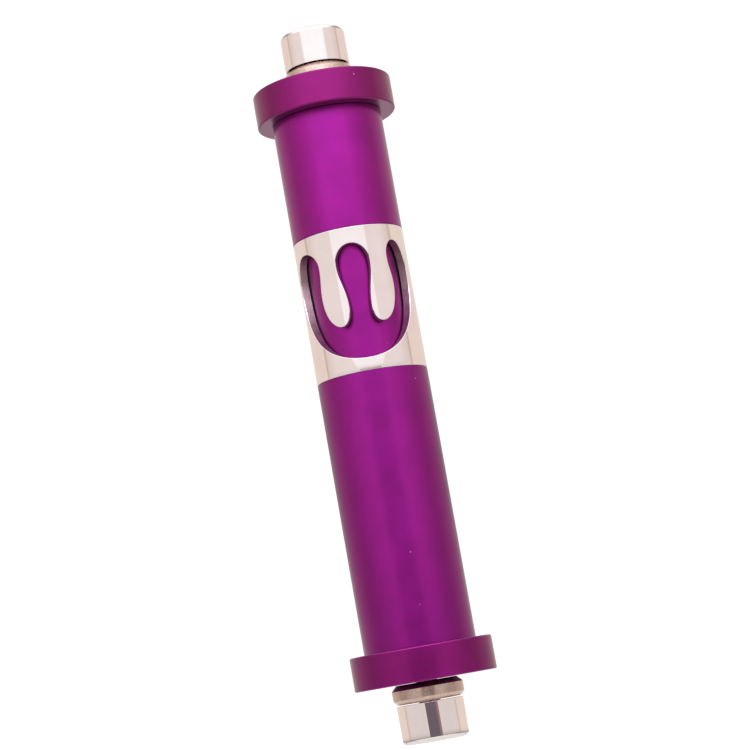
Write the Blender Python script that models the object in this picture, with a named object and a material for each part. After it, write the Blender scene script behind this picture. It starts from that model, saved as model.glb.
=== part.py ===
"""Mezuzah case: a turned aluminium tube with a three-armed window and a screw cap at each end.

World frame: metres, +Z up along the tube, origin at the centre of the bottom knob's end face.
The window faces -Y. Each cap is drawn once, pointing up from the end of its tube, and is placed
at both ends. Its thread stays right-handed because the lower one is turned over, not mirrored.
"""
import math

import bmesh
import bpy
from mathutils import Matrix, Vector, geometry

# Clearances
SEAM = 0.0003            # gap between pieces that meet face to face or sit one inside the other
THREAD_CLEARANCE = 0.0002

# Tube stack
TUBE_RADIUS = 0.0115
LOWER_TUBE_LENGTH = 0.0560
SLEEVE_LENGTH = 0.0298
UPPER_TUBE_LENGTH = 0.0258
CORE_RADIUS = 0.0096
CHAMBER_RADIUS = 0.0080
TUBE_EDGE = 0.00025      # chamfer on the tube ends
CORE_RECESS = 0.0002     # how far the core stops short of each cap

# Caps, each measured outward from the end of the tube stack
FLANGE_RADIUS = 0.0146
FLANGE_THICKNESS = 0.0070
FLANGE_EDGE = 0.0004
COLLAR_RADIUS = 0.0073
COLLAR_INNER_RADIUS = 0.0062
COLLAR_OUTER_RADIUS = 0.00645
COLLAR_INNER_CHAMFER = 0.0011
COLLAR_BAND = 0.0020
COLLAR_OUTER_CHAMFER = 0.0009
KNOB_RADIUS = 0.0068
KNOB_LENGTH = 0.0080
KNOB_SEAM = 0.0001       # extra width of the groove between collar and knob
KNOB_EDGE_INNER = 0.0003
KNOB_EDGE_OUTER = 0.0008
KNOB_EDGE_STEPS = 3      # straight pieces in the rounded outer edge

# Stud that ties knob, collar, flange and plug together
STUD_RADIUS = 0.0022
STUD_IN_KNOB = 0.0055
STUD_END_CHAMFER = 0.0005

# Threaded plug and its ring seal
PLUG_LENGTH = 0.0050
PLUG_NECK_LENGTH = 0.0014
PLUG_NECK_RADIUS = 0.0070
SEAL_SECTION = 0.0005    # radius of the ring's round section
THREAD_PITCH = 0.0015
THREAD_DEPTH = 0.0006
FEMALE_THREAD_LENGTH = 0.0042
THREAD_CREST = -0.0030   # height in the cap of one crest, at zero turn, that both threads share

# Window in the sleeve: an outline of knots joined by smooth curves. Each knot is an angle from
# the front in degrees, a height above the sleeve's lower edge in metres, and the direction in
# which the outline passes through it.
RIGHT, LEFT, UP, DOWN = (1, 0), (-1, 0), (0, 1), (0, -1)
ARM_TOP = 0.0264
TONGUE_TIP = 0.0097
WINDOW_BOTTOM = 0.0026
WINDOW_KNOTS = (
    (-56.0, ARM_TOP, RIGHT),          # left arm, top
    (-37.0, 0.0225, DOWN),            # left arm, inner shoulder
    (-39.6, 0.0163, DOWN),            # left tongue, widest on the left
    (-21.0, TONGUE_TIP, RIGHT),       # left tongue, tip
    (-10.6, 0.0134, UP),              # middle arm, neck
    (-17.2, 0.0224, UP),              # middle arm, widest on the left
    (0.7, ARM_TOP, RIGHT),            # middle arm, top
    (18.5, 0.0224, DOWN),             # middle arm, widest on the right
    (12.4, 0.0128, DOWN),             # middle arm, neck
    (22.3, TONGUE_TIP, RIGHT),        # right tongue, tip
    (41.6, 0.0172, UP),               # right tongue, widest on the right
    (38.7, 0.0228, UP),               # right arm, inner shoulder
    (50.5, ARM_TOP, RIGHT),           # right arm, top
    (68.6, 0.0195, DOWN),             # right arm, outer side
    (1.0, WINDOW_BOTTOM, LEFT),       # bottom of the window
    (-78.0, 0.0205, UP),              # left arm, outer side
)
QUARTER_TURN_REACH = 0.56             # handle length on a stretch that turns through 90 degrees
S_BEND_REACH = 0.42                   # handle length on a stretch that ends as it began
WINDOW_STEPS = 5                      # straight pieces in each stretch of the outline

# Facets round the axis
TUBE_FACETS = 40
SMALL_FACETS = 24
SEAL_FACETS = 32
SEAL_SECTION_FACETS = 6
THREAD_FACETS = 28
THREAD_ROWS = ((-0.375, 0.0), (-0.125, 1.0), (0.125, 1.0), (0.375, 0.0))   # of the pitch, of the depth

# Derived heights
COLLAR_LENGTH = COLLAR_INNER_CHAMFER + COLLAR_BAND + COLLAR_OUTER_CHAMFER
CAP_HEIGHT = FLANGE_THICKNESS + COLLAR_LENGTH + KNOB_SEAM + KNOB_LENGTH
LOWER_TUBE_BOTTOM = CAP_HEIGHT
SLEEVE_BOTTOM = LOWER_TUBE_BOTTOM + LOWER_TUBE_LENGTH
UPPER_TUBE_BOTTOM = SLEEVE_BOTTOM + SLEEVE_LENGTH
STACK_TOP = UPPER_TUBE_BOTTOM + UPPER_TUBE_LENGTH

SMOOTH_ANGLE = math.radians(32)
MERGE_DISTANCE = 1e-6    # points closer than this are the same point

PURPLE = ("purple_satin_anodised", (0.40, 0.018, 0.31, 1.0), 1.0, 0.36)
POLISHED = ("polished_nickel", (0.90, 0.84, 0.82, 1.0), 1.0, 0.06)
TURNED = ("fine_turned_nickel", (0.66, 0.55, 0.47, 1.0), 1.0, 0.32)
STEEL = ("plain_steel", (0.55, 0.55, 0.56, 1.0), 1.0, 0.40)
RUBBER = ("black_rubber", (0.02, 0.02, 0.02, 1.0), 0.0, 0.60)


def clear_scene():
    for scene_object in list(bpy.data.objects):
        bpy.data.objects.remove(scene_object, do_unlink=True)


def make_material(name, finish):
    label, colour, metallic, roughness = finish
    material = bpy.data.materials.new(name + "_" + label)
    material.use_nodes = True
    shader = material.node_tree.nodes["Principled BSDF"]
    shader.inputs["Base Color"].default_value = colour
    shader.inputs["Metallic"].default_value = metallic
    shader.inputs["Roughness"].default_value = roughness
    return material


def finish_object(name, mesh_builder, finish, parent=None, location=(0.0, 0.0, 0.0)):
    """Turn a bmesh into a named object with outward faces, smooth round sides and a material."""
    bmesh.ops.recalc_face_normals(mesh_builder, faces=mesh_builder.faces)
    mesh = bpy.data.meshes.new(name)
    mesh_builder.to_mesh(mesh)
    mesh_builder.free()
    mesh.shade_smooth()
    mesh.set_sharp_from_angle(angle=SMOOTH_ANGLE)
    mesh.materials.append(make_material(name, finish))
    part = bpy.data.objects.new(name, mesh)
    bpy.context.scene.collection.objects.link(part)
    part.location = location
    part.parent = parent
    return part


def on_cylinder(radius, angle, height):
    """A point at an angle measured from the front, positive towards +X."""
    return Vector((radius * math.sin(angle), -radius * math.cos(angle), height))


def turn_profile(profile, facets, closed):
    """Spin a list of (radius, height) points about the Z axis.

    A closed profile makes a ring. An open one starts and ends on the axis.
    """
    builder = bmesh.new()
    points = [builder.verts.new((radius, 0.0, height)) for radius, height in profile]
    last = len(points) if closed else len(points) - 1
    edges = [builder.edges.new((points[i], points[(i + 1) % len(points)])) for i in range(last)]
    bmesh.ops.spin(
        builder,
        geom=points + edges,
        cent=(0.0, 0.0, 0.0),
        axis=(0.0, 0.0, 1.0),
        angle=2.0 * math.pi,
        steps=facets,
        use_merge=True,
    )
    bmesh.ops.remove_doubles(builder, verts=builder.verts, dist=MERGE_DISTANCE)
    return builder


def tube_profile(outer, inner, low, high, edge):
    """A plain tube with chamfered outer edges."""
    return (
        (inner, low),
        (outer - edge, low),
        (outer, low + edge),
        (outer, high - edge),
        (outer - edge, high),
        (inner, high),
    )


def thread_rows(low, high, minor, major, crest_height, low_radius, high_radius):
    """Rows of a right-hand thread between two heights, as a function of the turn.

    The function gives one column's (radius, height) points, from low to high. Each row climbs one
    pitch in a turn, so a row meets the row one profile further on where the turn closes. The
    thread runs out to low_radius and high_radius at its two ends.
    """
    first = math.floor((low - crest_height) / THREAD_PITCH) - 1
    turns = math.ceil((high - low) / THREAD_PITCH) + 3

    def column(turn):
        points = []
        for number in range(first, first + turns):
            for part_of_pitch, part_of_depth in THREAD_ROWS:
                height = crest_height + (number + part_of_pitch + turn) * THREAD_PITCH
                radius = minor + (major - minor) * part_of_depth
                if height <= low:
                    points.append((low_radius, low))
                elif height >= high:
                    points.append((high_radius, high))
                else:
                    points.append((radius, height))
        return points

    return column


def turn_threaded(sections, facets):
    """Build a ring whose profile is a loop of plain points and threaded stretches.

    sections is a list of (column function, shift) pairs. The function gives a column's points for
    a part of a turn from 0 to 1, and the shift is the number of rows that a thread moves along in
    one turn: zero for plain stretches, negative where the loop runs down the thread.
    """
    builder = bmesh.new()
    columns = []
    for number in range(facets):
        turn = number / facets
        angle = 2.0 * math.pi * turn
        column = []
        for make_points, _ in sections:
            row = []
            previous = None
            for radius, height in make_points(turn):
                if previous is None or previous[0] != (radius, height):
                    place = (radius * math.cos(angle), radius * math.sin(angle), height)
                    previous = ((radius, height), builder.verts.new(place))
                row.append(previous[1])
            column.append(row)
        columns.append(column)

    for number in range(facets):
        here = columns[number]
        there = columns[(number + 1) % facets]
        wraps = number == facets - 1
        left = []
        right = []
        for (_, shift), row_here, row_there in zip(sections, here, there):
            step = shift if wraps else 0
            for index in range(-abs(step), len(row_here) + abs(step)):
                other = index + step
                if 0 <= max(index, other) and min(index, other) < len(row_here):
                    left.append(row_here[min(max(index, 0), len(row_here) - 1)])
                    right.append(row_there[min(max(other, 0), len(row_there) - 1)])
        for index in range(len(left)):
            following = (index + 1) % len(left)
            corners = []
            for corner in (left[index], left[following], right[following], right[index]):
                if corner not in corners:
                    corners.append(corner)
            if len(corners) >= 3:
                builder.faces.new(corners)
    return builder


def plain(*points):
    """A plain stretch of a threaded ring's profile."""
    return (lambda turn: points), 0


def male_thread(low, high, minor, crest_height):
    """A threaded stretch on the outside of a ring, cut down to its root at both ends."""
    major = minor + THREAD_DEPTH
    return thread_rows(low, high, minor, major, crest_height, minor, minor), len(THREAD_ROWS)


def female_thread(low, high, minor, crest_height, mouth_at_low):
    """A threaded stretch inside a ring, open at its mouth so that the male thread can leave."""
    major = minor + THREAD_DEPTH
    ends = (major, minor) if mouth_at_low else (minor, major)
    rows = thread_rows(low, high, minor, major, crest_height, *ends)
    return (lambda turn: list(reversed(rows(turn)))), -len(THREAD_ROWS)


def window_outline(steps):
    """Points (angle in radians, height) round the window."""
    knots = [
        (Vector((math.radians(angle) * TUBE_RADIUS, height)), Vector(heading))
        for angle, height, heading in WINDOW_KNOTS
    ]
    outline = []
    for number, (start, start_heading) in enumerate(knots):
        end, end_heading = knots[(number + 1) % len(knots)]
        span = end - start
        reach = S_BEND_REACH if start_heading == end_heading else QUARTER_TURN_REACH
        start_handle = start + start_heading * reach * abs(span.dot(start_heading))
        end_handle = end - end_heading * reach * abs(span.dot(end_heading))
        stretch = geometry.interpolate_bezier(start, start_handle, end_handle, end, steps + 1)
        outline.extend((point[0] / TUBE_RADIUS, point[1]) for point in stretch[:-1])
    return outline


def inside_outline(point, outline):
    inside = False
    for (x0, y0), (x1, y1) in zip(outline, outline[1:] + outline[:1]):
        if (y0 > point[1]) != (y1 > point[1]):
            if point[0] < x0 + (x1 - x0) * (point[1] - y0) / (y1 - y0):
                inside = not inside
    return inside


def build_window_sleeve():
    """The sleeve is laid out flat, cut to the outline, and wrapped round the core as two skins."""
    low = SEAM / 2
    high = SLEEVE_LENGTH - SEAM / 2
    outer = TUBE_RADIUS
    inner = CORE_RADIUS + SEAM

    # The flat layout is in metres along the outside of the tube.
    outline = [(angle * outer, height) for angle, height in window_outline(WINDOW_STEPS)]
    corners = [Vector(point) for point in outline]
    edges = [(number, (number + 1) % len(corners)) for number in range(len(corners))]
    for number in range(TUBE_FACETS + 1):
        along = (2.0 * math.pi * number / TUBE_FACETS - math.pi) * outer
        corners.append(Vector((along, low)))
        corners.append(Vector((along, high)))
        edges.append((len(corners) - 2, len(corners) - 1))
        if number:
            edges.append((len(corners) - 4, len(corners) - 2))
            edges.append((len(corners) - 3, len(corners) - 1))
    points, _, faces, *_ = geometry.delaunay_2d_cdt(corners, edges, [], 0, MERGE_DISTANCE / 10)
    kept = []
    for face in faces:
        centre = sum((points[index] for index in face), Vector((0.0, 0.0))) / len(face)
        if not inside_outline(centre, outline):
            kept.append(list(face))

    builder = bmesh.new()
    skins = []
    for radius in (outer, inner):
        skins.append([builder.verts.new(on_cylinder(radius, p[0] / outer, p[1])) for p in points])
    sides = set()
    for face in kept:
        builder.faces.new([skins[0][index] for index in face])
        builder.faces.new([skins[1][index] for index in reversed(face)])
        sides.update(zip(face, face[1:] + face[:1]))
    back = math.pi * outer - MERGE_DISTANCE
    for first, second in sides:
        at_back = abs(points[first][0]) > back and abs(points[second][0]) > back
        if (second, first) not in sides and not at_back:
            builder.faces.new(
                (skins[0][second], skins[0][first], skins[1][first], skins[1][second])
            )
    loose = [vertex for vertex in builder.verts if not vertex.link_faces]
    bmesh.ops.delete(builder, geom=loose, context="VERTS")
    bmesh.ops.remove_doubles(builder, verts=builder.verts, dist=MERGE_DISTANCE)
    return finish_object("window_sleeve", builder, POLISHED, location=(0.0, 0.0, SLEEVE_BOTTOM))


def build_outer_tube(name, bottom, length):
    inner = CORE_RADIUS + SEAM
    profile = tube_profile(TUBE_RADIUS, inner, SEAM / 2, length - SEAM / 2, TUBE_EDGE)
    builder = turn_profile(profile, TUBE_FACETS, closed=True)
    return finish_object(name, builder, PURPLE, location=(0.0, 0.0, bottom))


def build_core_tube():
    """The inner tube: scroll chamber, with a seal seat and a female thread at each end."""
    length = STACK_TOP - LOWER_TUBE_BOTTOM
    low = CORE_RECESS
    high = length - CORE_RECESS
    seat_radius = CHAMBER_RADIUS + THREAD_DEPTH
    seat_low = PLUG_NECK_LENGTH
    seat_high = length - PLUG_NECK_LENGTH
    low_end = seat_low + FEMALE_THREAD_LENGTH
    high_end = seat_high - FEMALE_THREAD_LENGTH
    top_crest = length + THREAD_CREST
    bottom_crest = -THREAD_CREST
    sections = [
        plain((seat_radius, low), (CORE_RADIUS, low), (CORE_RADIUS, high), (seat_radius, high)),
        female_thread(high_end, seat_high, CHAMBER_RADIUS, top_crest, mouth_at_low=False),
        female_thread(seat_low, low_end, CHAMBER_RADIUS, bottom_crest, mouth_at_low=True),
    ]
    builder = turn_threaded(sections, THREAD_FACETS)
    return finish_object("core_tube", builder, PURPLE, location=(0.0, 0.0, LOWER_TUBE_BOTTOM))


def build_flange(name, parent):
    low = SEAM / 2
    high = FLANGE_THICKNESS - SEAM / 2
    profile = tube_profile(FLANGE_RADIUS, STUD_RADIUS + SEAM, low, high, FLANGE_EDGE)
    return finish_object(name, turn_profile(profile, TUBE_FACETS, closed=True), PURPLE, parent)


def build_collar(name, parent):
    low = FLANGE_THICKNESS
    high = low + COLLAR_LENGTH
    hole = STUD_RADIUS + SEAM
    profile = (
        (hole, low + SEAM / 2),
        (COLLAR_INNER_RADIUS, low + SEAM / 2),
        (COLLAR_RADIUS, low + COLLAR_INNER_CHAMFER),
        (COLLAR_RADIUS, high - COLLAR_OUTER_CHAMFER),
        (COLLAR_OUTER_RADIUS, high - SEAM / 2),
        (hole, high - SEAM / 2),
    )
    return finish_object(name, turn_profile(profile, TUBE_FACETS, closed=True), TURNED, parent)


def build_knob(name, parent):
    """A solid knob with a blind hole for the stud in its inner face."""
    low = FLANGE_THICKNESS + COLLAR_LENGTH + KNOB_SEAM
    high = low + KNOB_LENGTH
    face = low + SEAM / 2
    hole = STUD_RADIUS + SEAM
    hole_top = low + STUD_IN_KNOB + SEAM
    profile = [
        (0.0, hole_top),
        (hole, hole_top),
        (hole, face),
        (KNOB_RADIUS - KNOB_EDGE_INNER, face),
        (KNOB_RADIUS, face + KNOB_EDGE_INNER),
    ]
    centre = (KNOB_RADIUS - KNOB_EDGE_OUTER, high - KNOB_EDGE_OUTER)
    for step in range(KNOB_EDGE_STEPS + 1):
        angle = math.pi / 2.0 * step / KNOB_EDGE_STEPS
        profile.append((
            centre[0] + KNOB_EDGE_OUTER * math.cos(angle),
            centre[1] + KNOB_EDGE_OUTER * math.sin(angle),
        ))
    profile.append((0.0, high))
    return finish_object(name, turn_profile(profile, TUBE_FACETS, closed=False), POLISHED, parent)


def build_stud(name, parent):
    low = -PLUG_LENGTH + SEAM
    high = FLANGE_THICKNESS + COLLAR_LENGTH + KNOB_SEAM + STUD_IN_KNOB
    edge = STUD_END_CHAMFER
    profile = (
        (0.0, low),
        (STUD_RADIUS - edge, low),
        (STUD_RADIUS, low + edge),
        (STUD_RADIUS, high - edge),
        (STUD_RADIUS - edge, high),
        (0.0, high),
    )
    return finish_object(name, turn_profile(profile, SMALL_FACETS, closed=False), STEEL, parent)


def build_plug(name, parent):
    """Male-threaded plug with a neck for the seal and a through hole for the stud."""
    hole = STUD_RADIUS + SEAM
    minor = CHAMBER_RADIUS - THREAD_CLEARANCE
    thread_top = -PLUG_NECK_LENGTH
    sections = [
        plain((hole, -PLUG_LENGTH)),
        male_thread(-PLUG_LENGTH, thread_top, minor, THREAD_CREST),
        plain((PLUG_NECK_RADIUS, thread_top), (PLUG_NECK_RADIUS, -SEAM / 2), (hole, -SEAM / 2)),
    ]
    return finish_object(name, turn_threaded(sections, THREAD_FACETS), STEEL, parent)


def build_seal(name, parent):
    """A rubber ring on the plug's neck, in the seat at the mouth of the core."""
    centre = PLUG_NECK_RADIUS + SEAM + SEAL_SECTION
    height = -PLUG_NECK_LENGTH / 2
    profile = []
    for step in range(SEAL_SECTION_FACETS):
        angle = 2.0 * math.pi * step / SEAL_SECTION_FACETS
        profile.append((
            centre + SEAL_SECTION * math.cos(angle),
            height + SEAL_SECTION * math.sin(angle),
        ))
    return finish_object(name, turn_profile(profile, SEAL_FACETS, closed=True), RUBBER, parent)


def build_cap(end, placement):
    """All the pieces of one cap, on an empty that stands on the screw's axis."""
    axis = bpy.data.objects.new(end + "_cap_axis", None)
    bpy.context.scene.collection.objects.link(axis)
    axis.matrix_world = placement
    for build in (build_flange, build_collar, build_knob, build_stud, build_plug, build_seal):
        build(end + "_" + build.__name__.removeprefix("build_"), axis)


def main():
    clear_scene()
    build_core_tube()
    build_outer_tube("lower_tube", LOWER_TUBE_BOTTOM, LOWER_TUBE_LENGTH)
    build_window_sleeve()
    build_outer_tube("upper_tube", UPPER_TUBE_BOTTOM, UPPER_TUBE_LENGTH)
    build_cap("top", Matrix.Translation((0.0, 0.0, STACK_TOP)))
    turned_over = Matrix.Rotation(math.pi, 4, "X")
    build_cap("bottom", Matrix.Translation((0.0, 0.0, LOWER_TUBE_BOTTOM)) @ turned_over)


main()
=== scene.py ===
"""Looks of the mezuzah case: fine turned surfaces, window, threads, finishes, camera and light."""

import math

import bmesh
import bpy
from mathutils import Matrix, Vector, geometry


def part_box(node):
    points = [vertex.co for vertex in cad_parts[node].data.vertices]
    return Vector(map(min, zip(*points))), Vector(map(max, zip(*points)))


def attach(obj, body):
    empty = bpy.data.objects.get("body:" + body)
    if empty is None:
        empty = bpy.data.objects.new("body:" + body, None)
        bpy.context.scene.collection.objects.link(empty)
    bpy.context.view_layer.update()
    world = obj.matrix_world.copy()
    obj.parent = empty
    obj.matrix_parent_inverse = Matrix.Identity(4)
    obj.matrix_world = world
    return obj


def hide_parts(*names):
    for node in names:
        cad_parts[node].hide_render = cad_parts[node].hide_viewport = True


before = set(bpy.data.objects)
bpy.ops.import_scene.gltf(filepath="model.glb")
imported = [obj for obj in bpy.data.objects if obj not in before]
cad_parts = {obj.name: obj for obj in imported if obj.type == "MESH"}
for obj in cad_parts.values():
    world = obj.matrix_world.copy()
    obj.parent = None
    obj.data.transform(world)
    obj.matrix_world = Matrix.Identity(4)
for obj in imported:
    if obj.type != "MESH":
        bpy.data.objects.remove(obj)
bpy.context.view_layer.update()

# Fine edges and seams, in metres
HAIRLINE = 0.00006           # gap left between pieces that the screws pull together
CAD_SEAM = 0.0003            # gap between the same pieces in the CAD model
REACH = (CAD_SEAM - HAIRLINE) / 2
KNOB_REACH = REACH / 2       # less, so that a thin seam shows between collar and knob
TUBE_EDGE = 0.00008
SLEEVE_EDGE = 0.00010
FLANGE_EDGE = 0.00035
KNOB_INNER_EDGE = 0.00008
KNOB_OUTER_EDGE = 0.00100
COLLAR_EDGE = 0.00010
WINDOW_EDGE = 0.00012
RING_STEPS = 256
FILLET_STEPS = 6
RING_DIGITS = 8              # decimals to which the points of a turned mesh are matched
SLEEVE_DIGITS = 7            # decimals to which the points of the sleeve are matched
SKIN_TOLERANCE = 1e-8
STRAIGHT = 1e-6              # radians, below which an outline counts as straight

# Fits inside the case, as in the CAD model
STUD_RADIUS = 0.0022
STUD_HOLE = STUD_RADIUS + CAD_SEAM
STUD_IN_KNOB = 0.0055
PLUG_NECK_LENGTH = 0.0014
PLUG_NECK_RADIUS = 0.0070
SEAL_SECTION = 0.0005
SEAL_TRIM = 0.999            # keeps the drawn seal inside its section
SEAL_ROUNDNESS = 0.995       # fillet as a part of the half width, so nearly a circle
CHAMBER_RADIUS = 0.0080
THREAD_CLEARANCE = 0.0002
THREAD_PITCH = 0.0015
THREAD_DEPTH = 0.0006
FEMALE_THREAD_LENGTH = 0.0042
THREAD_CREST = -0.0030
THREAD_ROWS = (              # part of the pitch from the crest, part of the depth
    (-0.375, 0.0),
    (-0.20, 0.0),
    (-0.13, 0.55),
    (-0.09, 1.0),
    (0.09, 1.0),
    (0.13, 0.55),
    (0.20, 0.0),
)
THREAD_STEPS = 128
THREAD_SHARP_ANGLE = 35.0    # degrees

# Collar outline
COLLAR_INNER_RADIUS = 0.0062
COLLAR_OUTER_RADIUS = 0.00645
COLLAR_INNER_CHAMFER = 0.0011
COLLAR_OUTER_CHAMFER = 0.0009
PAINTED_SHADE_SHARE = 0.9           # part of the inner chamfer's height below which a face whose centre lies there gets painted shade

# Window: knots of angle from the front in degrees, height above the sleeve's lower edge, heading
RIGHT, LEFT, UP, DOWN = (1, 0), (-1, 0), (0, 1), (0, -1)
ARM_TOP = 0.0264
TONGUE_TIP = 0.0097
WINDOW_BOTTOM = 0.0026
WINDOW_KNOTS = (
    (-56.0, ARM_TOP, RIGHT),          # left arm, top
    (-37.0, 0.0225, DOWN),            # left arm, inner shoulder
    (-39.6, 0.0163, DOWN),            # left tongue, widest on the left
    (-21.0, TONGUE_TIP, RIGHT),       # left tongue, tip
    (-10.6, 0.0134, UP),              # middle arm, neck
    (-17.2, 0.0224, UP),              # middle arm, widest on the left
    (0.7, ARM_TOP, RIGHT),            # middle arm, top
    (18.5, 0.0224, DOWN),             # middle arm, widest on the right
    (12.4, 0.0128, DOWN),             # middle arm, neck
    (22.3, TONGUE_TIP, RIGHT),        # right tongue, tip
    (41.6, 0.0172, UP),               # right tongue, widest on the right
    (38.7, 0.0228, UP),               # right arm, inner shoulder
    (50.5, ARM_TOP, RIGHT),           # right arm, top
    (68.6, 0.0195, DOWN),             # right arm, outer side
    (1.0, WINDOW_BOTTOM, LEFT),       # bottom of the window
    (-78.0, 0.0205, UP),              # left arm, outer side
)
QUARTER_TURN_REACH = 0.56
S_BEND_REACH = 0.42
WINDOW_STEPS = 24
SLEEVE_COLUMNS = 240

# Camera, from the photograph's viewpoint
CAMERA_DISTANCE = 0.4370
CAMERA_HEIGHT = 0.0121
CAMERA_PAN = 0.08            # degrees
CAMERA_TILT = 8.26
CAMERA_ROLL = -10.06
CAMERA_LENS = 102.5          # millimetres
SENSOR_WIDTH = 36.0
CLIP_START = 0.01
CLIP_END = 100.0

# Finishes: a darker and a lighter tint each
PURPLE_TINTS = ((0.285, 0.002, 0.23), (0.345, 0.003, 0.28))
RED_PURPLE_TINTS = ((0.26, 0.002, 0.17), (0.31, 0.003, 0.205))
# Painted shade: the top flange's copy of the flange purple is darker than the bottom flange's
TOP_FLANGE_SHADED_TINTS = ((0.22, 0.002, 0.13), (0.265, 0.003, 0.158))
# Painted glints: lighter specks in the satin's base colour stand in for sparkles of the blasted
# grain
GLINT_SPECK_TINT = (0.72, 0.36, 0.64)
GLINT_SPECK_SIZE = (0.12, 0.06)    # where a painted glint starts and is full, in cells from its centre
GLINT_SPECK_RARITY = 0.965         # part of the cells that have no painted glint
SATIN_ROUGHNESS = (0.28, 0.34)
NICKEL_TINTS = ((0.90, 0.87, 0.86), (0.93, 0.91, 0.90))
# Painted reflection: the mauve cast of the milled tints stands in for the purple core mirrored in
# the window's cut walls
MILLED_REFLECTION_TINTS = ((0.35, 0.25, 0.27), (0.46, 0.34, 0.36))
TURNED_TINTS = ((0.64, 0.50, 0.42), (0.74, 0.60, 0.51))
# Painted shade: dark tints for the collar's groove, where the flange's shadowed underside is
# mirrored
GROOVE_SHADE_TINTS = ((0.16, 0.14, 0.14), (0.28, 0.25, 0.24))
STEEL_TINTS = ((0.46, 0.46, 0.47), (0.60, 0.60, 0.61))
RUBBER_TINTS = ((0.014, 0.014, 0.015), (0.045, 0.043, 0.042))

# Floor
FLOOR_RADIUS = 6.0
FLOOR_SEGMENTS = 96
FLOOR_TINT = (0.86, 0.86, 0.86)
FLOOR_GLOW = 0.62
FLOOR_FADE = (0.02, 0.30)    # metres from the axis, from lit table to plain backdrop

# Light tent: colours of its panels
FRONT_PANEL = (1.01, 0.935, 0.945)
FRONT_TOP = (1.09, 1.06, 1.08)
SIDE_PANEL = (0.863, 0.742, 0.716)
SIDE_EDGE = (0.77, 0.615, 0.565)
BACK_PANEL = (0.85, 0.695, 0.625)
PANEL_JOIN = (0.60, 0.47, 0.40)
LOW_WALL = (0.75, 0.664, 0.649)
LENS_SLOT = (0.154, 0.122, 0.139)
SLOT_ABOVE = (0.62, 0.55, 0.57)
SLOT_EDGE = (0.36, 0.19, 0.20)
SLOT_HEAD = (0.36, 0.31, 0.31)
GAP_FRONT = (1.25, 1.12, 1.16)
SIDE_GAP = (0.52, 0.46, 0.44)
HIGH_FRONT = (4.3, 4.0, 4.7)
HIGH_SIDE = (0.36, 0.33, 0.32)
CEILING = (1.05, 1.02, 1.0)
TABLE_EDGE = (0.16, 0.14, 0.14)
TABLE_FRONT = (0.98, 0.92, 0.86)
TABLE_SIDE = (0.44, 0.40, 0.39)
TABLE_NEAR = (0.84, 0.80, 0.78)
WHITE = (1.0, 1.0, 1.0)
BACKDROP_LEVEL = 1.05

# Light tent: places of its panels, in degrees aside from the front or up from the horizon.
# A pair is where a change starts and where it is complete.
PANEL_SOFTNESS = 0.015       # of the edges that the sleeve mirrors as sharp lines
FRONT_HALF_WIDTH = 37.0
FRONT_FOOT_HALF_WIDTH = 27.0
FRONT_TOP_HALF_WIDTH = 42.0
FRONT_BOTTOM = 8.53
FRONT_FOOT = (FRONT_BOTTOM, 8.85)
FRONT_TOP_CHANGE = (13.0, 17.5)
FRONT_SOFTNESS = (1.0, 6.0)  # of its sides, at the bottom and at the top
JOIN_ANGLE = 97.8
JOIN_CENTRE = -1.8
JOIN_HALF_WIDTH = 5.0
JOIN_SOFTNESS = 1.0
JOIN_SHADE_WIDTH = 32.0
LOW_WALL_TO_SIDES = (60.0, 110.0)
GAP_START = (0.5, 5.0)
GAP_STOP = (8.3, 7.9)
GAP_TO_SIDES = (40.0, 85.0)
SLOT_HALF_WIDTH = 22.0
SLOT_SOFTNESS = 0.6
SLOT_LEAN = 3.5
SLOT_LEAN_CHANGE = (3.0, 0.5)
SLOT_EDGE_CHANGE = (SLOT_LEAN + 11.0, SLOT_LEAN + 19.0)
SLOT_ABOVE_CHANGE = (1.0, 5.5)
SLOT_HEAD_CHANGE = (8.0, 8.3)
SLOT_TOP = 8.475
HIGH_CHANGE = (19.0, 27.0)
HIGH_TO_FRONT = (105.0, 0.0)
CEILING_BEHIND = (140.0, 160.0)
CEILING_CHANGE = (38.0, 50.0)
HORIZON = -1.5
HORIZON_SOFTNESS = 0.15
TABLE_TO_SIDES = (50.0, 90.0)
TABLE_TO_BACK = (125.0, 165.0)
TABLE_EDGE_TO_SIDES = (85.0, 125.0)
TABLE_EDGE_CHANGE = (-7.0, -12.0)
TABLE_NEAR_CHANGE = (-16.0, -28.0)


# ---------------------------------------------------------------- profiles and turned meshes

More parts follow.
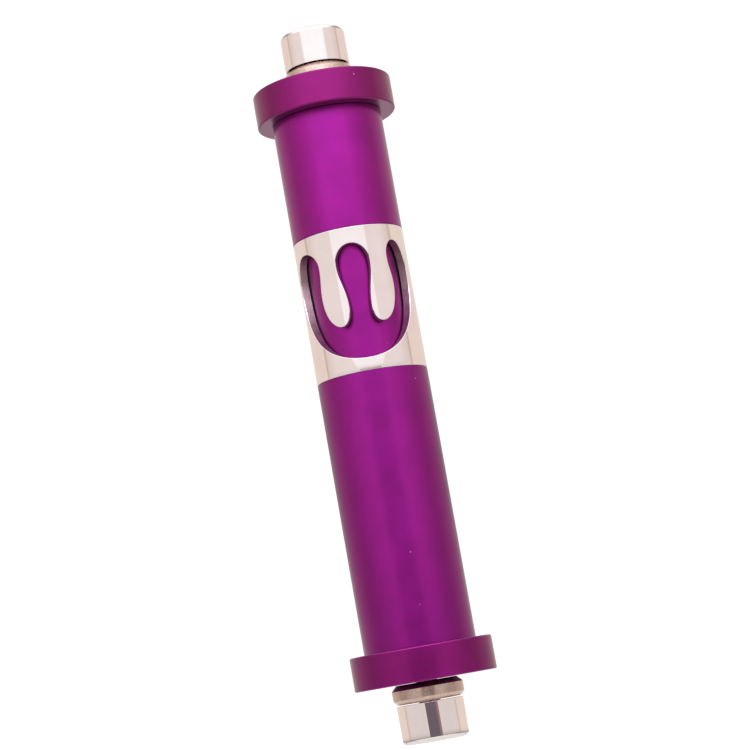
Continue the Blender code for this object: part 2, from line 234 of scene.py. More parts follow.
def rounded_profile(corners, closed):
    """Stretches of a turned outline, with a fillet at each corner that has a radius.

    corners are (radius, height, fillet). The outline runs with the solid on its left, so the
    outside is on its right. Each stretch is (point, normal, next point, next normal).
    """
    count = len(corners)
    stretches = []
    ends = []
    for number, (radius, height, fillet) in enumerate(corners):
        corner = Vector((radius, height))
        if not closed and number in (0, count - 1):
            ends.append((corner, corner))
            continue
        before = Vector(corners[number - 1][:2])
        after = Vector(corners[(number + 1) % count][:2])
        arriving = (corner - before).normalized()
        leaving = (after - corner).normalized()
        turn = arriving.angle_signed(leaving)
        if fillet == 0.0 or abs(turn) < STRAIGHT:
            ends.append((corner, corner))
            continue
        tangent = fillet * math.tan(abs(turn) / 2.0)
        start = corner - arriving * tangent
        start_normal = Vector((arriving.y, -arriving.x))
        convex = 1.0 if turn < 0.0 else -1.0
        centre = start - convex * fillet * start_normal
        previous = (start, start_normal)
        for step in range(1, FILLET_STEPS + 1):
            part = -turn * step / FILLET_STEPS
            normal = Matrix.Rotation(part, 2) @ start_normal
            point = centre + convex * fillet * normal
            stretches.append((number, (*previous, point, normal)))
            previous = (point, normal)
        ends.append((start, previous[0]))
    ordered = []
    for number in range(count if closed else count - 1):
        start = ends[number][1]
        end = ends[(number + 1) % count][0]
        along = (end - start).normalized()
        normal = Vector((along.y, -along.x))
        ordered.extend(stretch for owner, stretch in stretches if owner == number)
        ordered.append((start, normal, end, normal))
    return ordered


def add_object(name, data):
    added = bpy.data.objects.new(name, data)
    bpy.context.scene.collection.objects.link(added)
    return added


def mesh_with_normals(name, points, faces, normals):
    mesh = bpy.data.meshes.new(name)
    mesh.from_pydata([tuple(point) for point in points], [], faces)
    mesh.shade_smooth()
    mesh.normals_split_custom_set([tuple(normal) for normal in normals])
    mesh.update()
    return mesh


def turned(name, corners, closed=True):
    """A turned piece as a new object, with exact normals."""
    points = []
    rings = {}
    turns = [2.0 * math.pi * step / RING_STEPS for step in range(RING_STEPS)]

    def ring(place):
        radius, height = place
        key = (round(radius, RING_DIGITS), round(height, RING_DIGITS))
        if key not in rings:
            if key[0] == 0.0:
                points.append((0.0, 0.0, height))
                rings[key] = [len(points) - 1] * RING_STEPS
            else:
                rings[key] = list(range(len(points), len(points) + RING_STEPS))
                points.extend((radius * math.sin(t), -radius * math.cos(t), height) for t in turns)
        return rings[key]

    def outward(normal, step):
        turn = turns[step]
        return (normal[0] * math.sin(turn), -normal[0] * math.cos(turn), normal[1])

    faces = []
    normals = []
    for start, start_normal, end, end_normal in rounded_profile(corners, closed):
        low = ring(start)
        high = ring(end)
        for step in range(RING_STEPS):
            after = (step + 1) % RING_STEPS
            corners_of_face = (
                (low[step], start_normal, step),
                (low[after], start_normal, after),
                (high[after], end_normal, after),
                (high[step], end_normal, step),
            )
            face = []
            for index, normal, turn_step in corners_of_face:
                if index not in face:
                    face.append(index)
                    normals.append(outward(normal, turn_step))
            faces.append(face)
    return add_object(name, mesh_with_normals(name, points, faces, normals))


def place(piece, matrix):
    """Moves a piece's mesh, so that the piece keeps its origin at the frame's."""
    piece.data.transform(matrix)
    return piece


def finish_piece(piece, body, slot, material, *nodes):
    piece.data.materials.clear()
    piece.data.materials.append(material)
    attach(piece, body)
    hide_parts(*nodes)


def paint_faces(piece, numbers, material):
    """Gives some faces of a finished piece a second material."""
    piece.data.materials.append(material)
    for number in numbers:
        piece.data.polygons[number].material_index = 1


# ---------------------------------------------------------------- threads

def thread_rows(low, high, minor, major, crest_height, low_radius, high_radius):
    """A function that gives one column of a right-hand thread at a part of a turn, low to high."""
    first = math.floor((low - crest_height) / THREAD_PITCH) - 1
    turns = math.ceil((high - low) / THREAD_PITCH) + 3

    def column(turn):
        rows = []
        for number in range(first, first + turns):
            for part_of_pitch, part_of_depth in THREAD_ROWS:
                height = crest_height + (number + part_of_pitch + turn) * THREAD_PITCH
                radius = minor + (major - minor) * part_of_depth
                if height <= low:
                    rows.append((low_radius, low))
                elif height >= high:
                    rows.append((high_radius, high))
                else:
                    rows.append((radius, height))
        return rows

    return column


def plain(*points):
    """A plain stretch of a threaded ring's outline.

    Each stretch is a function of the part of a turn, and how many rows its points climb in a turn.
    """
    return (lambda turn: points), 0


def male_thread(low, high, minor, crest_height):
    """A threaded stretch on the outside of a ring, cut down to its root at both ends."""
    major = minor + THREAD_DEPTH
    return thread_rows(low, high, minor, major, crest_height, minor, minor), len(THREAD_ROWS)


def female_thread(low, high, minor, crest_height, mouth_at_low):
    """A threaded stretch inside a ring, open at its mouth so that the male thread can leave."""
    major = minor + THREAD_DEPTH
    ends = (major, minor) if mouth_at_low else (minor, major)
    rows = thread_rows(low, high, minor, major, crest_height, *ends)
    return (lambda turn: list(reversed(rows(turn)))), -len(THREAD_ROWS)


def turned_with_thread(name, sections, steps=THREAD_STEPS):
    """A ring whose outline is a loop of plain points and threaded stretches."""
    builder = bmesh.new()
    columns = []
    for step in range(steps):
        turn = step / steps
        angle = 2.0 * math.pi * turn
        column = []
        for make_points, _ in sections:
            row = []
            previous = None
            for radius, height in make_points(turn):
                if previous is None or previous[0] != (radius, height):
                    spot = (radius * math.cos(angle), radius * math.sin(angle), height)
                    previous = ((radius, height), builder.verts.new(spot))
                row.append(previous[1])
            column.append(row)
        columns.append(column)

    for step in range(steps):
        here = columns[step]
        there = columns[(step + 1) % steps]
        left = []
        right = []
        for (_, shift), row_here, row_there in zip(sections, here, there):
            climb = shift if step == steps - 1 else 0
            for index in range(-abs(climb), len(row_here) + abs(climb)):
                other = index + climb
                if 0 <= max(index, other) and min(index, other) < len(row_here):
                    left.append(row_here[min(max(index, 0), len(row_here) - 1)])
                    right.append(row_there[min(max(other, 0), len(row_there) - 1)])
        for index in range(len(left)):
            following = (index + 1) % len(left)
            face = []
            for vertex in (left[index], left[following], right[following], right[index]):
                if vertex not in face:
                    face.append(vertex)
            if len(face) >= 3:
                builder.faces.new(face)
    bmesh.ops.recalc_face_normals(builder, faces=builder.faces)
    mesh = bpy.data.meshes.new(name)
    builder.to_mesh(mesh)
    builder.free()
    mesh.shade_smooth()
    mesh.set_sharp_from_angle(angle=math.radians(THREAD_SHARP_ANGLE))
    return add_object(name, mesh)


# ---------------------------------------------------------------- window sleeve

def window_outline():
    """Points (metres along the outside, height) round the window, clockwise seen from outside."""
    knots = [
        (Vector((math.radians(angle) * tube_radius, height)), Vector(heading))
        for angle, height, heading in WINDOW_KNOTS
    ]
    outline = []
    for number, (start, start_heading) in enumerate(knots):
        end, end_heading = knots[(number + 1) % len(knots)]
        span = end - start
        reach = S_BEND_REACH if start_heading == end_heading else QUARTER_TURN_REACH
        start_handle = start + start_heading * reach * abs(span.dot(start_heading))
        end_handle = end - end_heading * reach * abs(span.dot(end_heading))
        stretch = geometry.interpolate_bezier(start, start_handle, end_handle, end, WINDOW_STEPS + 1)
        outline.extend(Vector(point[:2]) for point in stretch[:-1])
    return outline


def outline_normals(outline):
    """Unit normals of a closed outline, pointing away from the opening into the metal."""
    normals = []
    for number in range(len(outline)):
        along = outline[(number + 1) % len(outline)] - outline[number - 1]
        normals.append(Vector((-along.y, along.x)).normalized())
    return normals


def inside_outline(point, outline):
    inside = False
    for number, (x1, y1) in enumerate(outline):
        x0, y0 = outline[number - 1]
        if (y0 > point[1]) != (y1 > point[1]):
            if point[0] < x0 + (x1 - x0) * (point[1] - y0) / (y1 - y0):
                inside = not inside
    return inside


def flat_skin(outline, low, high):
    """Triangles that cover the laid-out sleeve between two heights, around the window."""
    corners = list(outline)
    edges = [(number, (number + 1) % len(corners)) for number in range(len(corners))]
    for column in range(SLEEVE_COLUMNS + 1):
        along = (2.0 * math.pi * column / SLEEVE_COLUMNS - math.pi) * tube_radius
        corners.append(Vector((along, low)))
        corners.append(Vector((along, high)))
        edges.append((len(corners) - 2, len(corners) - 1))
        if column:
            edges.append((len(corners) - 4, len(corners) - 2))
            edges.append((len(corners) - 3, len(corners) - 1))
    points, _, faces = geometry.delaunay_2d_cdt(corners, edges, [], 0, SKIN_TOLERANCE)[:3]
    kept = []
    for face in faces:
        centre = sum((points[index] for index in face), Vector((0.0, 0.0))) / len(face)
        if not inside_outline(centre, outline):
            kept.append(tuple(face))
    return points, kept


def quarter_round(radius):
    """Steps round a rounded edge: distances in from both faces, and the normal's parts."""
    steps = []
    for step in range(FILLET_STEPS + 1):
        angle = math.pi / 2.0 * step / FILLET_STEPS
        sine = math.sin(angle)
        cosine = math.cos(angle)
        steps.append((radius * (1.0 - sine), radius * (1.0 - cosine), cosine, sine))
    return steps


def build_sleeve(bottom, length, inner):
    """The bright sleeve: outer and inner skins round the window, rounded edges and cut walls.

    Gives the piece and the numbers of the faces of its cut walls.
    """
    points = []
    faces = []
    normals = []
    index_of = {}

    def add(along, height, radius):
        angle = along / tube_radius
        spot = (radius * math.sin(angle), -radius * math.cos(angle), bottom + height)
        key = tuple(round(value, SLEEVE_DIGITS) for value in spot)
        if key not in index_of:
            index_of[key] = len(points)
            points.append(spot)
        return index_of[key]

    def direction(along, normal_along, normal_up, normal_out):
        angle = along / tube_radius
        outward = Vector((math.sin(angle), -math.cos(angle), 0.0))
        sideways = Vector((math.cos(angle), math.sin(angle), 0.0))
        upward = Vector((0.0, 0.0, normal_up))
        return (outward * normal_out + sideways * normal_along + upward).normalized()

    def add_face(corner_list):
        face = []
        for index, normal in corner_list:
            if index not in face:
                face.append(index)
                normals.append(normal)
        if len(face) < 3:
            del normals[len(normals) - len(face):]
        else:
            faces.append(face)

    outline = window_outline()
    into_metal = outline_normals(outline)
    widened = [point + normal * WINDOW_EDGE for point, normal in zip(outline, into_metal)]
    for ring, low, high, radius, side in (
        (widened, SLEEVE_EDGE, length - SLEEVE_EDGE, tube_radius, 1.0),
        (outline, 0.0, length, inner, -1.0),
    ):
        flat_points, flat_faces = flat_skin(ring, low, high)
        for face in flat_faces:
            order = face if side > 0.0 else tuple(reversed(face))
            add_face([
                (add(*flat_points[index], radius), direction(flat_points[index][0], 0.0, 0.0, side))
                for index in order
            ])

    # Rounded lip and wall of the cut
    walls = []
    lip = [
        (set_back, tube_radius - depth, out, -away)
        for set_back, depth, out, away in quarter_round(WINDOW_EDGE)
    ]
    lip.append((0.0, inner, 0.0, -1.0))
    for number in range(len(outline)):
        after = (number + 1) % len(outline)
        for upper, lower in zip(lip, lip[1:]):
            corner_list = []
            for index, (set_back, radius, out, away) in (
                (number, lower),
                (after, lower),
                (after, upper),
                (number, upper),
            ):
                spot = outline[index] + into_metal[index] * set_back
                tilt = into_metal[index] * away
                corner_list.append((
                    add(spot.x, spot.y, radius),
                    direction(spot.x, tilt.x, tilt.y, out),
                ))
            add_face(corner_list)
        walls.append(len(faces) - 1)

    # Rounded rims and flat ends
    for end, up in ((0.0, -1.0), (length, 1.0)):
        rim = [
            (tube_radius - depth, end - up * set_back, out, up * rise)
            for set_back, depth, out, rise in quarter_round(SLEEVE_EDGE)
        ]
        rim_faces = list(zip(rim, rim[1:]))
        rim_faces.append(((*rim[-1][:2], 0.0, up), (inner, end, 0.0, up)))
        for column in range(SLEEVE_COLUMNS):
            left = (2.0 * math.pi * column / SLEEVE_COLUMNS - math.pi) * tube_radius
            right = (2.0 * math.pi * (column + 1) / SLEEVE_COLUMNS - math.pi) * tube_radius
            for first, second in rim_faces:
                corner_list = [
                    (add(along, height, radius), direction(along, 0.0, rise, out))
                    for along, (radius, height, out, rise) in (
                        (left, first),
                        (right, first),
                        (right, second),
                        (left, second),
                    )
                ]
                add_face(corner_list if up > 0.0 else list(reversed(corner_list)))

    mesh = mesh_with_normals("window_sleeve_fine", points, faces, normals)
    return add_object("window_sleeve_fine", mesh), walls


# ---------------------------------------------------------------- materials

class Nodes:
    """Short ways to add and join shader nodes in one tree."""

    def __init__(self, tree):
        self.tree = tree

    def add(self, kind, inputs=(), **settings):
        node = self.tree.nodes.new(kind)
        for name, value in settings.items():
            setattr(node, name, value)
        for name, value in dict(inputs).items():
            self.feed(node.inputs[name], value)
        return node

    def feed(self, socket, value):
        if isinstance(value, bpy.types.NodeSocket):
            self.tree.links.new(value, socket)
        else:
            socket.default_value = value

    def math(self, operation, first, second=0.0):
        node = self.add("ShaderNodeMath", {0: first, 1: second}, operation=operation)
        return node.outputs[0]

    def fade(self, value, start, end, low=0.0, high=1.0):
        """A smooth change from low to high as the value goes from start to end."""
        node = self.add("ShaderNodeMapRange", {0: value, 1: start, 2: end, 3: low, 4: high})
        node.interpolation_type = "SMOOTHSTEP"
        return node.outputs[0]

    def slope(self, value, start, end, low, high):
        """A straight change from low to high as the value goes from start to end."""
        node = self.add("ShaderNodeMapRange", {0: value, 1: start, 2: end, 3: low, 4: high})
        return node.outputs[0]

    def mix(self, amount, first, second):
        node = self.add("ShaderNodeMix", data_type="RGBA")
        self.feed(node.inputs[0], amount)
        self.feed(node.inputs[6], first)
        self.feed(node.inputs[7], second)
        return node.outputs[2]

    def light(self, kind, colour, strength):
        return self.add(kind, {"Color": colour, "Strength": strength}).outputs[0]

    def blend(self, amount, first, second):
        """A mix of two shaders."""
        node = self.add("ShaderNodeMixShader", {0: amount})
        self.feed(node.inputs[1], first)
        self.feed(node.inputs[2], second)
        return node.outputs[0]

    def noise(self, coordinates, scale, detail=3.0, roughness=0.6):
        inputs = {"Vector": coordinates, "Scale": scale, "Detail": detail, "Roughness": roughness}
        return self.add("ShaderNodeTexNoise", inputs).outputs["Fac"]

    def marks(self, coordinates, scales, detail=3.0, roughness=0.6):
        """Noise that is stretched into lines by its own scale along each axis."""
        mapping = self.add("ShaderNodeMapping", {"Vector": coordinates, "Scale": scales})
        return self.noise(mapping.outputs["Vector"], 1.0, detail, roughness)

    def bump(self, height, strength, distance):
        inputs = {"Height": height, "Strength": strength, "Distance": distance}
        return self.add("ShaderNodeBump", inputs).outputs["Normal"]


def rgba(colour):
    return (*colour, 1.0)


class Finish:
    """A material with its nodes, its shader and its coordinates, which are in metres."""

    def __init__(self, name):
        self.material = bpy.data.materials.new(name)
        self.material.use_nodes = True
        self.nodes = Nodes(self.material.node_tree)
        self.shader = self.material.node_tree.nodes["Principled BSDF"]
        self.coordinates = self.nodes.add("ShaderNodeTexCoord").outputs["Object"]

    def set(self, **values):
        """Sets sockets of the shader, named with underscores, to numbers, colours or links."""
        for name, value in values.items():
            self.nodes.feed(self.shader.inputs[name.replace("_", " ")], value)

    def tint_and_gloss(self, film, tints, roughness, tint_range=(0.3, 0.7), gloss_range=(0.2, 0.8)):
        """Lets one noise change both the tint and the roughness."""
        darker, lighter = tints
        tint = self.nodes.fade(film, *tint_range)
        self.set(
            Base_Color=self.nodes.mix(tint, rgba(darker), rgba(lighter)),
            Roughness=self.nodes.fade(film, *gloss_range, *roughness),
        )


def satin_anodised(name, tints):
    """Bead-blasted and dyed aluminium: fine grain, faint clouding, and a few bright specks that are
    painted glints.
    """
    finish = Finish(name)
    nodes = finish.nodes
    grain = nodes.noise(finish.coordinates, scale=5200.0)
    pits = nodes.noise(finish.coordinates, scale=1900.0, detail=2.0, roughness=0.5)
    clouds = nodes.noise(finish.coordinates, scale=160.0)
    # Painted glints: a few sparse cells get a lighter base colour
    cells = nodes.add("ShaderNodeTexVoronoi", {"Vector": finish.coordinates, "Scale": 700.0})
    chance = nodes.add("ShaderNodeSeparateColor", {0: cells.outputs["Color"]}).outputs[0]
    rare = nodes.math("GREATER_THAN", chance, GLINT_SPECK_RARITY)
    glint_speck = nodes.math("MULTIPLY", nodes.fade(cells.outputs["Distance"], *GLINT_SPECK_SIZE), rare)
    tone = nodes.math("ADD", nodes.math("MULTIPLY", clouds, 0.5), nodes.math("MULTIPLY", grain, 0.5))
    darker, lighter = tints
    dyed = nodes.mix(nodes.fade(tone, 0.30, 0.70), rgba(darker), rgba(lighter))
    relief = nodes.math("ADD", grain, nodes.math("MULTIPLY", pits, 0.8))
    finish.set(
        Base_Color=nodes.mix(glint_speck, dyed, rgba(GLINT_SPECK_TINT)),
        Metallic=1.0,
        Roughness=nodes.fade(clouds, 0.2, 0.8, *SATIN_ROUGHNESS),
        Normal=nodes.bump(relief, strength=0.35, distance=0.000014),
        Coat_Weight=1.0,
        Coat_Roughness=0.26,
        Coat_IOR=1.28,
        Sheen_Weight=0.07,
        Sheen_Roughness=0.45,
        Sheen_Tint=rgba((1.0, 0.85, 0.65)),
        Specular_Tint=rgba((0.6, 0.6, 0.6)),
    )
    return finish.material


def polished_nickel(name):
    """Mirror finish with hairline polishing marks and a faint film that changes the gloss."""
    finish = Finish(name)
    film = finish.nodes.noise(finish.coordinates, scale=230.0)
    marks = finish.nodes.marks(finish.coordinates, (900.0, 900.0, 9000.0), detail=2.0, roughness=0.5)
    finish.tint_and_gloss(film, NICKEL_TINTS, (0.01, 0.02), gloss_range=(0.25, 0.75))
    finish.set(Metallic=1.0, Normal=finish.nodes.bump(marks, strength=0.015, distance=0.000003))
    return finish.material


def milled_nickel_with_reflection(name):
    """The cut walls of the window: dull, with fine marks of the cutter across the wall, and a mauve
    tint that is a painted reflection of the purple core.
    """
    finish = Finish(name)
    marks = finish.nodes.marks(finish.coordinates, (3500.0, 700.0, 3500.0))
    stain = finish.nodes.noise(finish.coordinates, scale=500.0)
    finish.tint_and_gloss(stain, MILLED_REFLECTION_TINTS, (0.38, 0.48))
    finish.set(Metallic=1.0, Normal=finish.nodes.bump(marks, strength=0.4, distance=0.000010))
    return finish.material


def turned_nickel(name):
    """Unpolished lathe finish: fine rings round the axis and a warm tint."""
    finish = Finish(name)
    rings = finish.nodes.marks(finish.coordinates, (60.0, 60.0, 14000.0))
    mottle = finish.nodes.noise(finish.coordinates, scale=900.0)
    tangent = finish.nodes.add("ShaderNodeTangent", direction_type="RADIAL", axis="Z").outputs[0]
    finish.tint_and_gloss(mottle, TURNED_TINTS, (0.15, 0.22))
    finish.set(
        Metallic=1.0,
        Anisotropic=0.75,
        Anisotropic_Rotation=0.25,
        Tangent=tangent,
        Normal=finish.nodes.bump(rings, strength=0.35, distance=0.000010),
    )
    return finish.material


def painted_groove_shade(name):
    """The collar's inner chamfer: dark tints as painted shade, for the flange's shadowed underside
    that the groove mirrors.
    """
    finish = Finish(name)
    shade_mottle = finish.nodes.noise(finish.coordinates, scale=600.0, detail=4.0)
    finish.tint_and_gloss(shade_mottle, GROOVE_SHADE_TINTS, (0.30, 0.45))
    finish.set(Metallic=1.0, Normal=finish.nodes.bump(shade_mottle, strength=0.3, distance=0.000015))
    return finish.material


def plain_steel(name):
    """As-turned steel with circular tool marks and a dull, slightly oily variation."""
    finish = Finish(name)
    rings = finish.nodes.marks(finish.coordinates, (120.0, 120.0, 8000.0))
    oil = finish.nodes.noise(finish.coordinates, scale=400.0)
    finish.tint_and_gloss(oil, STEEL_TINTS, (0.28, 0.42))
    finish.set(Metallic=1.0, Normal=finish.nodes.bump(rings, strength=0.4, distance=0.000012))
    return finish.material


def seal_rubber(name):
    """Matte black rubber with a faint dusty bloom."""
    finish = Finish(name)
    bloom = finish.nodes.noise(finish.coordinates, scale=700.0, detail=4.0)
    finish.tint_and_gloss(bloom, RUBBER_TINTS, (0.48, 0.66), tint_range=(0.4, 0.75))
    finish.set(Normal=finish.nodes.bump(bloom, strength=0.2, distance=0.00002))
    return finish.material


PURPLE = satin_anodised("purple_satin", PURPLE_TINTS)
RED_PURPLE = satin_anodised("red_purple_satin", RED_PURPLE_TINTS)
# Painted shade: a darker copy of the flange purple for the top flange
TOP_FLANGE_SHADED_PURPLE = satin_anodised("top_flange_purple_painted_shade", TOP_FLANGE_SHADED_TINTS)
NICKEL = polished_nickel("nickel_polished")
MILLED_REFLECTION = milled_nickel_with_reflection("nickel_milled_painted_reflection")
TURNED = turned_nickel("nickel_turned")
# Painted shade for the collar's groove
GROOVE_SHADE = painted_groove_shade("groove_painted_shade")
STEEL = plain_steel("steel_turned")
RUBBER = seal_rubber("rubber_black")


# ---------------------------------------------------------------- the case

tube_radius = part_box("lower_tube")[1].x
core_low, core_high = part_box("core_tube")
core_radius = core_high.x
flange_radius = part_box("top_flange")[1].x
collar_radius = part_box("top_collar")[1].x
knob_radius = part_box("top_knob")[1].x
sleeve_inner = core_radius + CAD_SEAM
stack_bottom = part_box("lower_tube")[0].z - CAD_SEAM / 2
stack_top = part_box("upper_tube")[1].z + CAD_SEAM / 2


def build_tube(node):
    low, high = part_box(node)
    bottom = low.z - REACH
    top = high.z + REACH
    corners = (
        (sleeve_inner, bottom, 0.0),
        (tube_radius, bottom, TUBE_EDGE),
        (tube_radius, top, TUBE_EDGE),
        (sleeve_inner, top, 0.0),
    )
    finish_piece(turned(node + "_fine", corners), "casing", "purple_anodised", PURPLE, node)


def build_core():
    """The inner tube that shows through the window, with its seal seats and female threads."""
    bottom = core_low.z
    top = core_high.z
    seat = CHAMBER_RADIUS + THREAD_DEPTH
    seat_low = stack_bottom + PLUG_NECK_LENGTH
    seat_high = stack_top - PLUG_NECK_LENGTH
    low_end = seat_low + FEMALE_THREAD_LENGTH
    high_end = seat_high - FEMALE_THREAD_LENGTH
    top_crest = stack_top + THREAD_CREST
    bottom_crest = stack_bottom - THREAD_CREST
    sections = [
        plain((seat, bottom), (core_radius, bottom), (core_radius, top), (seat, top)),
        female_thread(high_end, seat_high, CHAMBER_RADIUS, top_crest, mouth_at_low=False),
        female_thread(seat_low, low_end, CHAMBER_RADIUS, bottom_crest, mouth_at_low=True),
    ]
    piece = turned_with_thread("core_tube_fine", sections, RING_STEPS)
    finish_piece(piece, "casing", "purple_anodised", PURPLE, "core_tube")


def build_window_sleeve():
    low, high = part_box("window_sleeve")
    bottom = low.z - REACH
    piece, walls = build_sleeve(bottom, high.z + REACH - bottom, sleeve_inner)
    finish_piece(piece, "casing", "polished_nickel", NICKEL, "window_sleeve")
    # Painted reflection: the cut walls' mauve tint stands in for the mirrored purple core
    paint_faces(piece, walls, MILLED_REFLECTION)


def flange_corners(face, far):
    return (
        (STUD_HOLE, face, 0.0),
        (flange_radius, face, FLANGE_EDGE),
        (flange_radius, far, FLANGE_EDGE),
        (STUD_HOLE, far, 0.0),
    )


def collar_corners(low, high):
    return (
        (STUD_HOLE, low, 0.0),
        (COLLAR_INNER_RADIUS, low, 0.0),
        (collar_radius, low + COLLAR_INNER_CHAMFER, COLLAR_EDGE),
        (collar_radius, high - COLLAR_OUTER_CHAMFER, COLLAR_EDGE),
        (COLLAR_OUTER_RADIUS, high, COLLAR_EDGE),
        (STUD_HOLE, high, 0.0),
    )


def knob_corners(low, high):
    depth = low + STUD_IN_KNOB
    return (
        (0.0, depth, 0.0),
        (STUD_HOLE, depth, 0.0),
        (STUD_HOLE, low, 0.0),
        (knob_radius, low, KNOB_INNER_EDGE),
        (knob_radius, high, KNOB_OUTER_EDGE),
        (0.0, high, 0.0),
    )


def build_cap(end, stack_end, placement):
    """One cap, drawn pointing up from the end of the tube stack and then put in place."""

    def local_heights(node):
        low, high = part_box(node)
        return sorted((abs(low.z - stack_end), abs(high.z - stack_end)))

    body = end + "_cap"
    flange_low, flange_high = local_heights(end + "_flange")
    collar_low, collar_high = local_heights(end + "_collar")
    knob_low, knob_high = local_heights(end + "_knob")
    flange_outline = flange_corners(flange_low - REACH, flange_high + REACH)
    collar_outline = collar_corners(collar_low - REACH, collar_high + REACH)
    knob_outline = knob_corners(knob_low - KNOB_REACH, knob_high)
    flange = turned(body + "_flange_fine", flange_outline)
    collar = turned(body + "_collar_fine", collar_outline)
    knob = turned(body + "_knob_fine", knob_outline, closed=False)
    # Painted shade: the lower part of the collar's inner chamfer gets the dark groove tints
    painted_shade_top = collar_low + COLLAR_INNER_CHAMFER * PAINTED_SHADE_SHARE
    in_painted_shade = [
        face.index for face in collar.data.polygons
        if face.center.xy.length > COLLAR_INNER_RADIUS and face.center.z < painted_shade_top
    ]
    # The flanges get a redder purple than the tubes; the top flange's copy is darker still, painted
    # shade
    flange_tint_and_shade = TOP_FLANGE_SHADED_PURPLE if end == "top" else RED_PURPLE
    finish_piece(place(flange, placement), body, "purple_anodised", flange_tint_and_shade, end + "_flange")
    finish_piece(place(collar, placement), body, "turned_nickel", TURNED, end + "_collar")
    paint_faces(collar, in_painted_shade, GROOVE_SHADE)
    finish_piece(place(knob, placement), body, "polished_nickel", NICKEL, end + "_knob")

    plug_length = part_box("top_plug")[1].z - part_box("top_plug")[0].z + CAD_SEAM / 2
    minor = CHAMBER_RADIUS - THREAD_CLEARANCE
    plug = turned_with_thread(body + "_plug_fine", [
        plain((STUD_HOLE, -plug_length)),
        male_thread(-plug_length, -PLUG_NECK_LENGTH, minor, THREAD_CREST),
        plain((PLUG_NECK_RADIUS, -PLUG_NECK_LENGTH), (PLUG_NECK_RADIUS, -HAIRLINE / 2)),
        plain((STUD_HOLE, -HAIRLINE / 2)),
    ])
    finish_piece(place(plug, placement), body, "plain_steel", STEEL, end + "_plug")

    centre = PLUG_NECK_RADIUS + CAD_SEAM + SEAL_SECTION
    half = SEAL_SECTION * SEAL_TRIM
    fillet = half * SEAL_ROUNDNESS
    middle = -PLUG_NECK_LENGTH / 2
    seal = turned(end + "_seal_fine", (
        (centre - half, middle - half, fillet),
        (centre + half, middle - half, fillet),
        (centre + half, middle + half, fillet),
        (centre - half, middle + half, fillet),
    ))
    finish_piece(place(seal, placement), end + "_seal_ring", "seal_rubber", RUBBER, end + "_seal")
    stud_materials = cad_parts[end + "_stud"].data.materials
    stud_materials.clear()
    stud_materials.append(STEEL)


build_tube("lower_tube")
build_tube("upper_tube")
build_core()
build_window_sleeve()
at_top = Matrix.Translation((0.0, 0.0, stack_top))
at_bottom = Matrix.Translation((0.0, 0.0, stack_bottom))
turned_over = Matrix.Rotation(math.pi, 4, "X")
build_cap("top", stack_top, at_top)
build_cap("bottom", stack_bottom, at_bottom @ turned_over)


# ---------------------------------------------------------------- camera, floor and light

def build_camera():
    data = bpy.data.cameras.new("camera")
    data.lens = CAMERA_LENS
    data.sensor_width = SENSOR_WIDTH
    data.clip_start = CLIP_START
    data.clip_end = CLIP_END
    camera = add_object("camera", data)
    upright = Matrix.Rotation(math.radians(90.0), 4, "X")
    pan = Matrix.Rotation(math.radians(-CAMERA_PAN), 4, "Z")
    tilt = Matrix.Rotation(math.radians(CAMERA_TILT), 4, "X")
    roll = Matrix.Rotation(math.radians(CAMERA_ROLL), 4, "Z")
    spot = Matrix.Translation((0.0, -CAMERA_DISTANCE, CAMERA_HEIGHT))
    camera.matrix_world = spot @ pan @ upright @ tilt @ roll
    bpy.context.scene.camera = camera


def build_floor():
    """A pale table that is lit near the object and melts into the backdrop further away."""
    builder = bmesh.new()
    bmesh.ops.create_circle(builder, cap_ends=True, segments=FLOOR_SEGMENTS, radius=FLOOR_RADIUS)
    mesh = bpy.data.meshes.new("floor")
    builder.to_mesh(mesh)
    builder.free()
    floor = add_object("floor", mesh)
    material = bpy.data.materials.new("floor_pale")
    material.use_nodes = True
    nodes = Nodes(material.node_tree)
    coordinates = nodes.add("ShaderNodeTexCoord").outputs["Object"]
    far = nodes.add("ShaderNodeVectorMath", {0: coordinates}, operation="LENGTH").outputs["Value"]
    table = nodes.add("ShaderNodeBsdfDiffuse", {"Color": rgba(FLOOR_TINT)}).outputs[0]
    glow = nodes.light("ShaderNodeEmission", rgba(WHITE), FLOOR_GLOW)
    lit = nodes.add("ShaderNodeAddShader", {0: table, 1: glow}).outputs[0]
    backdrop = nodes.light("ShaderNodeEmission", rgba(WHITE), BACKDROP_LEVEL)
    surface = nodes.blend(nodes.fade(far, *FLOOR_FADE), lit, backdrop)
    nodes.feed(material.node_tree.nodes["Material Output"].inputs["Surface"], surface)
    mesh.materials.append(material)
    floor.visible_glossy = False
    floor.visible_diffuse = False


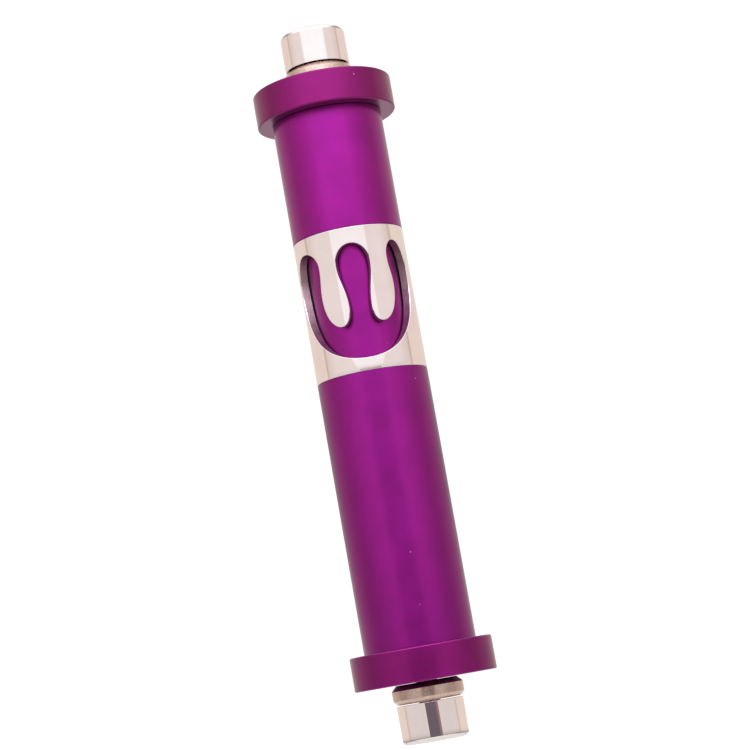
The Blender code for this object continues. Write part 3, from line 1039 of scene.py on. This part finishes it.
def build_tent():
    """Soft light from a white tent: panels at set directions, and a plain white backdrop."""
    world = bpy.data.worlds.new("tent")
    bpy.context.scene.world = world
    world.use_nodes = True
    tree = world.node_tree
    nodes = Nodes(tree)
    direction = nodes.add("ShaderNodeTexCoord").outputs["Generated"]
    x, y, z = nodes.add("ShaderNodeSeparateXYZ", {0: direction}).outputs
    degrees = 180.0 / math.pi
    turn = nodes.math("ARCTAN2", x, nodes.math("MULTIPLY", y, -1.0))
    turn = nodes.math("MULTIPLY", turn, degrees)
    aside = nodes.math("ABSOLUTE", turn)
    rise = nodes.math("MULTIPLY", nodes.math("ARCSINE", z), degrees)

    # Side and back panels with a join between them
    from_centre = nodes.math("ABSOLUTE", nodes.math("SUBTRACT", turn, JOIN_CENTRE))
    past_join = nodes.fade(from_centre, JOIN_ANGLE - JOIN_SOFTNESS, JOIN_ANGLE + JOIN_SOFTNESS)
    shaded = nodes.fade(from_centre, JOIN_ANGLE - JOIN_SHADE_WIDTH, JOIN_ANGLE)
    sides = nodes.mix(shaded, rgba(SIDE_PANEL), rgba(SIDE_EDGE))
    sides = nodes.mix(past_join, sides, rgba(BACK_PANEL))
    off_join = nodes.math("ABSOLUTE", nodes.math("SUBTRACT", from_centre, JOIN_ANGLE))
    sides = nodes.mix(nodes.fade(off_join, JOIN_HALF_WIDTH, 0.0), sides, rgba(PANEL_JOIN))

    # Front panel, with a tapered foot and a wide soft top
    half = nodes.slope(rise, *FRONT_FOOT, FRONT_FOOT_HALF_WIDTH, FRONT_HALF_WIDTH)
    widening = nodes.slope(rise, *FRONT_TOP_CHANGE, 0.0, FRONT_TOP_HALF_WIDTH - FRONT_HALF_WIDTH)
    half = nodes.math("ADD", half, widening)
    softness = nodes.slope(rise, *FRONT_TOP_CHANGE, *FRONT_SOFTNESS)
    outer = nodes.math("ADD", half, softness)
    inner = nodes.math("SUBTRACT", half, softness)
    near_top = nodes.fade(rise, *FRONT_TOP_CHANGE)
    front_light = nodes.mix(near_top, rgba(FRONT_PANEL), rgba(FRONT_TOP))
    upper = nodes.mix(nodes.fade(aside, outer, inner), sides, front_light)

    # Below the front panel: a plain wall, a brighter strip and the dark slot for the lens
    lean = nodes.fade(rise, *SLOT_LEAN_CHANGE, 0.0, SLOT_LEAN)
    off_slot = nodes.math("ABSOLUTE", nodes.math("SUBTRACT", turn, lean))
    slot = nodes.fade(off_slot, SLOT_HALF_WIDTH + SLOT_SOFTNESS, SLOT_HALF_WIDTH - SLOT_SOFTNESS)
    lower = nodes.mix(nodes.fade(aside, *LOW_WALL_TO_SIDES), rgba(LOW_WALL), sides)
    gap = nodes.math("MULTIPLY", nodes.fade(rise, *GAP_START), nodes.fade(rise, *GAP_STOP))
    strip = nodes.mix(nodes.fade(aside, *GAP_TO_SIDES), rgba(GAP_FRONT), rgba(SIDE_GAP))
    lower = nodes.mix(gap, lower, strip)
    in_slot = nodes.mix(nodes.fade(turn, *SLOT_EDGE_CHANGE), rgba(LENS_SLOT), rgba(SLOT_EDGE))
    in_slot = nodes.mix(nodes.fade(rise, *SLOT_ABOVE_CHANGE), in_slot, rgba(SLOT_ABOVE))
    in_slot = nodes.mix(nodes.fade(rise, *SLOT_HEAD_CHANGE), in_slot, rgba(SLOT_HEAD))
    lower = nodes.mix(slot, lower, in_slot)
    over_slot = nodes.fade(rise, SLOT_TOP - PANEL_SOFTNESS, SLOT_TOP + PANEL_SOFTNESS)
    lower = nodes.mix(over_slot, lower, sides)
    over_foot = nodes.fade(rise, FRONT_BOTTOM - PANEL_SOFTNESS, FRONT_BOTTOM + PANEL_SOFTNESS)
    walls = nodes.mix(over_foot, lower, upper)

    # Lamp above the front panel, dark flags beside it, and a white ceiling
    high = nodes.mix(nodes.fade(aside, *HIGH_TO_FRONT), rgba(HIGH_SIDE), rgba(HIGH_FRONT))
    behind = nodes.fade(aside, *CEILING_BEHIND)
    overhead = nodes.fade(rise, *CEILING_CHANGE)
    high = nodes.mix(nodes.math("MAXIMUM", behind, overhead), high, rgba(CEILING))
    walls = nodes.mix(nodes.fade(rise, *HIGH_CHANGE), walls, high)

    # Table, with an edge that is dark in front
    table = nodes.mix(nodes.fade(aside, *TABLE_TO_SIDES), rgba(TABLE_FRONT), rgba(TABLE_SIDE))
    table = nodes.mix(nodes.fade(aside, *TABLE_TO_BACK), table, rgba(TABLE_NEAR))
    edge = nodes.mix(nodes.fade(aside, *TABLE_EDGE_TO_SIDES), rgba(TABLE_EDGE), rgba(TABLE_SIDE))
    table = nodes.mix(nodes.fade(rise, *TABLE_EDGE_CHANGE), edge, table)
    table = nodes.mix(nodes.fade(rise, *TABLE_NEAR_CHANGE), table, rgba(TABLE_NEAR))
    below = nodes.fade(rise, HORIZON + HORIZON_SOFTNESS, HORIZON - HORIZON_SOFTNESS)
    tent = nodes.mix(below, walls, table)

    light = nodes.light("ShaderNodeBackground", tent, 1.0)
    backdrop = nodes.light("ShaderNodeBackground", rgba(WHITE), BACKDROP_LEVEL)
    seen = nodes.add("ShaderNodeLightPath").outputs["Is Camera Ray"]
    nodes.feed(tree.nodes["World Output"].inputs["Surface"], nodes.blend(seen, light, backdrop))


build_camera()
build_floor()
build_tent()
bpy.context.scene.view_settings.view_transform = "Standard"
